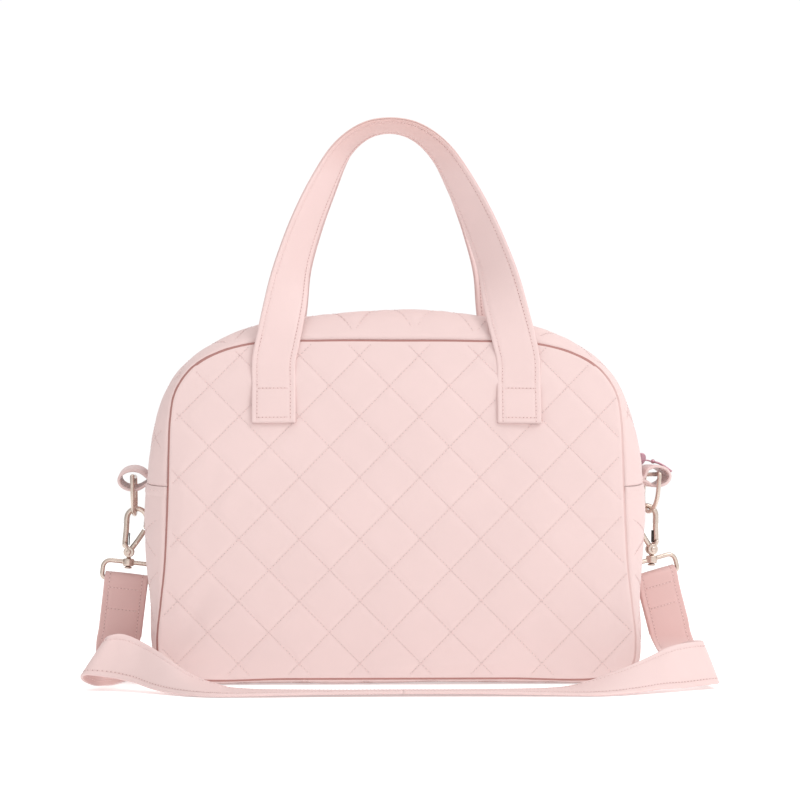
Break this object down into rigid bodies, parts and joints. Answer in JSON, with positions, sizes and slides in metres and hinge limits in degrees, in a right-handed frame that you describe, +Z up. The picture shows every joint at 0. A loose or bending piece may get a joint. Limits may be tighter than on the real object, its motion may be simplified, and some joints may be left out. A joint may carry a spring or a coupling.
{
  "type": "diaper bag",
  "caption": "Soft quilted diaper bag with a zipped top gusset, two carrying handles and a shoulder strap on swivel snap hooks and D-rings.",
  "frame": {"origin": "on the floor, under the middle of the bag", "axes": "+X towards the zip slider side, -Y out of the front panel, +Z up"},
  "size_m": [0.5105, 0.2845, 0.473],
  "materials": {
    "panel_leather": "matt quilted faux leather",
    "gusset_leather": "matt quilted faux leather",
    "handle_leather": "smooth matt faux leather, topstitched",
    "tab_leather": "smooth faux leather loop",
    "strap_leather": "smooth matt faux leather, topstitched",
    "lining_cloth": "woven polyester lining",
    "elastic_binding": "ribbed elastic",
    "base_board": "stiff base board",
    "zip_tape": "woven zip tape",
    "zip_teeth": "moulded coil teeth",
    "zip_metal": "pink lacquered metal",
    "rose_nickel": "satin warm nickel",
    "spring_steel": "dark spring steel"
  },
  "bodies": {
    "bag": {"front_panel": "panel_leather", "rear_panel": "panel_leather", "top_gusset_front": "gusset_leather", "top_gusset_rear": "gusset_leather", "lower_gusset": "gusset_leather", "front_lining": "lining_cloth", "rear_lining": "lining_cloth", "top_lining_front": "lining_cloth", "top_lining_rear": "lining_cloth", "lower_lining": "lining_cloth", "base_board": "base_board", "front_pocket": "lining_cloth", "front_pocket_elastic": "elastic_binding", "rear_pocket": "lining_cloth", "rear_pocket_elastic": "elastic_binding", "zip_tape_front": "zip_tape", "zip_tape_rear": "zip_tape", "zip_teeth_front": "zip_teeth", "zip_teeth_rear": "zip_teeth", "zip_stop_right": "zip_metal", "zip_stop_left": "zip_metal", "front_handle_end_left": "handle_leather", "front_handle_end_right": "handle_leather", "rear_handle_end_left": "handle_leather", "rear_handle_end_right": "handle_leather", "tab_left": "tab_leather", "tab_right": "tab_leather", "shoulder_strap": "strap_leather"},
    "front_handle": {"front_handle": "handle_leather"},
    "rear_handle": {"rear_handle": "handle_leather"},
    "zip_slider": {"zip_slider": "zip_metal"},
    "zip_pull": {"zip_pull": "zip_metal"},
    "clip_left": {"strap_loop_left": "rose_nickel", "strap_end_left": "strap_leather"},
    "hook_left": {"hook_left": "rose_nickel", "hook_rivet_left": "rose_nickel", "gate_spring_left": "spring_steel"},
    "gate_left": {"hook_gate_left": "rose_nickel"},
    "dring_left": {"dring_left": "rose_nickel"},
    "clip_right": {"strap_loop_right": "rose_nickel", "strap_end_right": "strap_leather"},
    "hook_right": {"hook_right": "rose_nickel", "hook_rivet_right": "rose_nickel", "gate_spring_right": "spring_steel"},
    "gate_right": {"hook_gate_right": "rose_nickel"},
    "dring_right": {"dring_right": "rose_nickel"}
  },
  "joints": [
    {"name": "front_handle_fold", "type": "hinge", "parent": "bag", "child": "front_handle", "pos_m": [0, -0.0606, 0.24115], "axis": [1, 0, 0], "range_deg": [0, 165]},
    {"name": "rear_handle_fold", "type": "hinge", "parent": "bag", "child": "rear_handle", "pos_m": [0, 0.0606, 0.24115], "axis": [-1, 0, 0], "range_deg": [0, 165]},
    {"name": "zip_travel", "type": "hinge", "parent": "bag", "child": "zip_slider", "pos_m": [0.093, 0, 0.178], "axis": [0, -1, 0], "range_deg": [0, 75]},
    {"name": "zip_pull_flip", "type": "hinge", "parent": "zip_slider", "child": "zip_pull", "pos_m": [0.20624, 0, 0.18156], "axis": [0, -1, 0], "range_deg": [0, 90]},
    {"name": "clip_left_swing", "type": "hinge", "parent": "bag", "child": "clip_left", "pos_m": [-0.2176, 0, 0.1676], "axis": [0, 1, 0], "range_deg": [0, 40]},
    {"name": "hook_left_swivel", "type": "hinge", "parent": "clip_left", "child": "hook_left", "pos_m": [-0.22164, 0, 0.09631], "axis": [0.0523, 0, 0.9986], "range_deg": [-10, 10]},
    {"name": "gate_left_open", "type": "hinge", "parent": "hook_left", "child": "gate_left", "pos_m": [-0.2212, 0, 0.1047], "axis": [0, -1, 0], "range_deg": [0, 15], "stiffness_Nm_per_rad": 0.02, "springref_deg": -20.05},
    {"name": "dring_left_tilt", "type": "hinge", "parent": "hook_left", "child": "dring_left", "pos_m": [-0.21667, 0, 0.13611], "axis": [0, 1, 0], "range_deg": [-4, 4]},
    {"name": "clip_right_swing", "type": "hinge", "parent": "bag", "child": "clip_right", "pos_m": [0.218, 0, 0.1697], "axis": [0.225, -0.9744, 0], "range_deg": [0, 40]},
    {"name": "hook_right_swivel", "type": "hinge", "parent": "clip_right", "child": "hook_right", "pos_m": [0.21708, -0.00021, 0.09831], "axis": [0.017, 0.0039, 0.9998], "range_deg": [-10, 10]},
    {"name": "gate_right_open", "type": "hinge", "parent": "hook_right", "child": "gate_right", "pos_m": [0.21722, -0.00018, 0.1067], "axis": [-0.225, 0.9744, 0], "range_deg": [0, 15], "stiffness_Nm_per_rad": 0.02, "springref_deg": -20.05},
    {"name": "dring_right_tilt", "type": "hinge", "parent": "hook_right", "child": "dring_right", "pos_m": [0.21495, -0.0007, 0.13836], "axis": [-0.225, 0.9744, 0], "range_deg": [-4, 4]}
  ]
}
